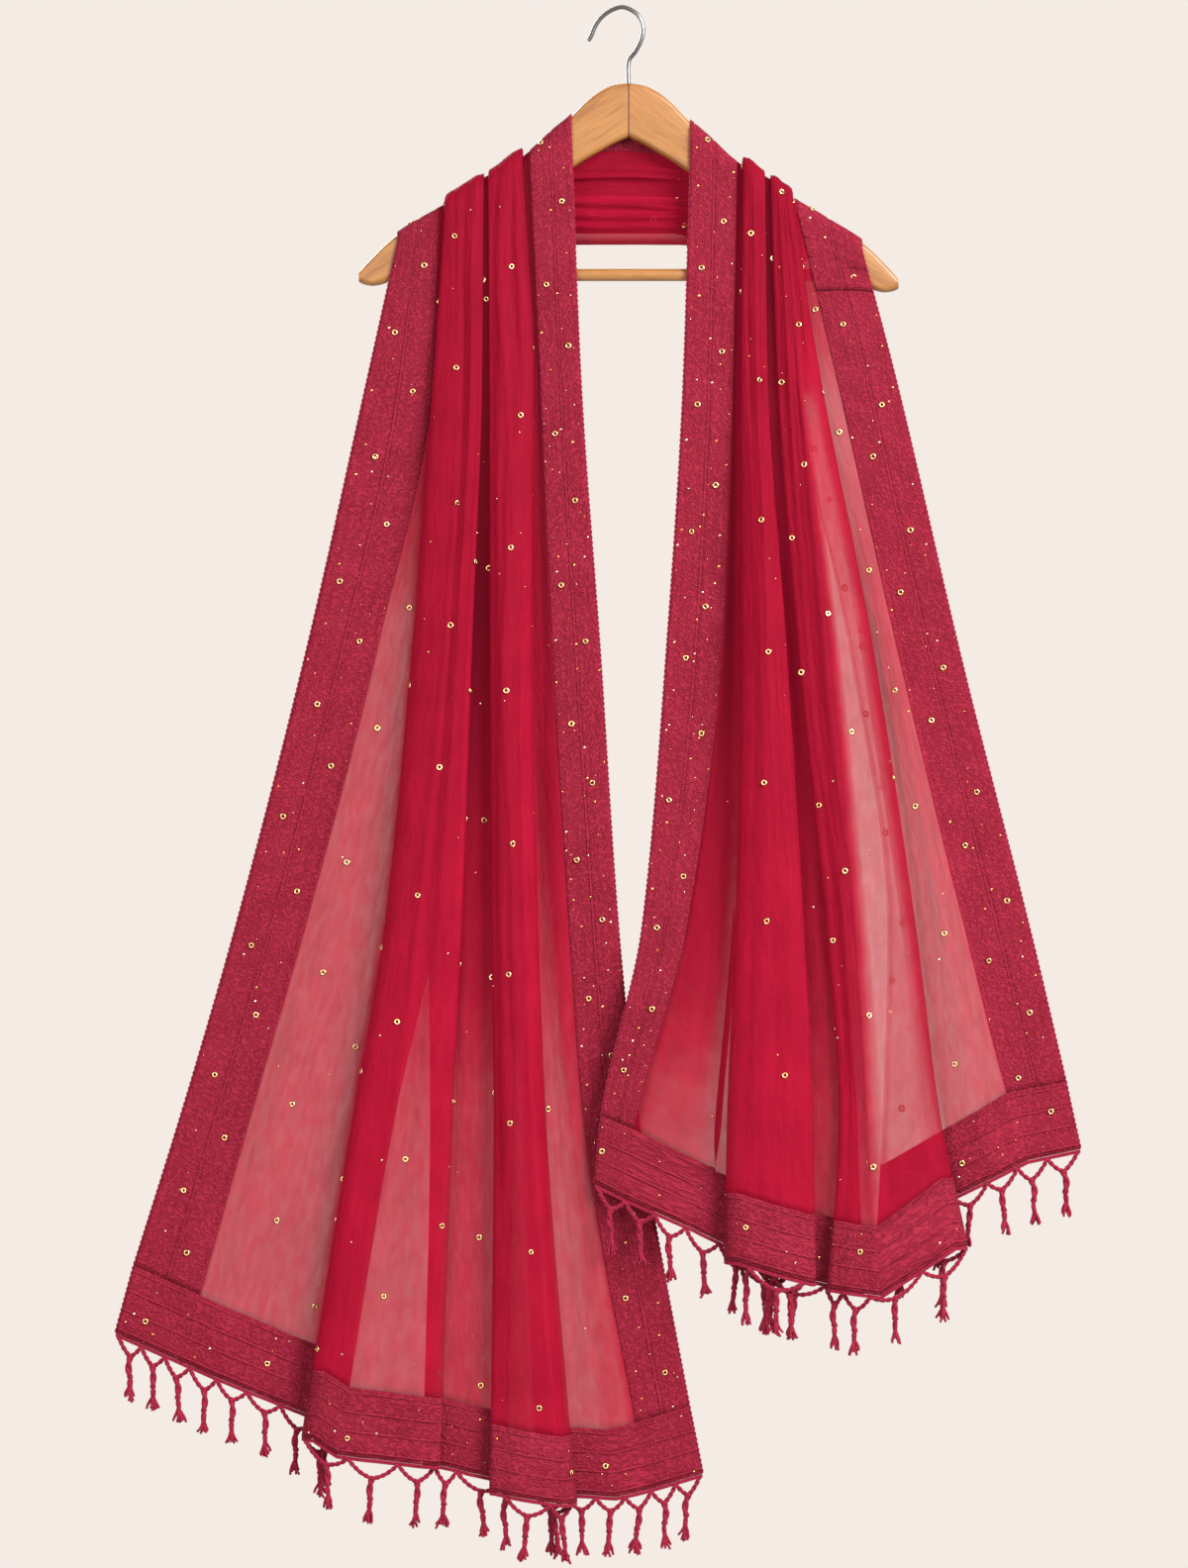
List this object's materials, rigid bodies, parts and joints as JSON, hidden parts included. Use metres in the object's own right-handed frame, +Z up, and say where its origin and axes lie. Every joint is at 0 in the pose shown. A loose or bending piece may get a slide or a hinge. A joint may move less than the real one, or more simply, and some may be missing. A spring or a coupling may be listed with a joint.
{
  "type": "dupatta stole on wooden hanger",
  "caption": "Sheer dupatta stole with opaque borders and knotted tassel fringe, draped front, back and front again over a wooden clothes hanger with a steel hook.",
  "frame": {"origin": "inside the crown of the hanger's hook, where a rod carries it", "axes": "+Z up along the hook's shank; -Y is the front that is shown; +X to the right seen from the front"},
  "size_m": [0.787, 0.1064, 1.2717],
  "materials": {
    "sheer": "sheer crinkled crimson, soft sheen",
    "border": "opaque raspberry cloth with self-coloured threadwork",
    "fringe": "twisted crimson thread",
    "sequin": "polished gold-coloured",
    "wood": "honey-coloured, satin varnish",
    "steel": "bright wire"
  },
  "bodies": {
    "root": {"left_fall_ground": "sheer", "back_ground": "sheer", "right_fall_ground": "sheer", "left_outer_border": "border", "back_outer_border": "border", "right_outer_border_upper": "border", "right_outer_border_lower": "border", "left_inner_border": "border", "back_inner_border": "border", "right_inner_border": "border", "left_end_band": "border", "right_end_band": "border", "left_fringe": "fringe", "right_fringe": "fringe", "hanger_arm_left": "wood", "hanger_arm_right": "wood", "trouser_bar": "wood", "hook": "steel"}
  },
  "joints": []
}
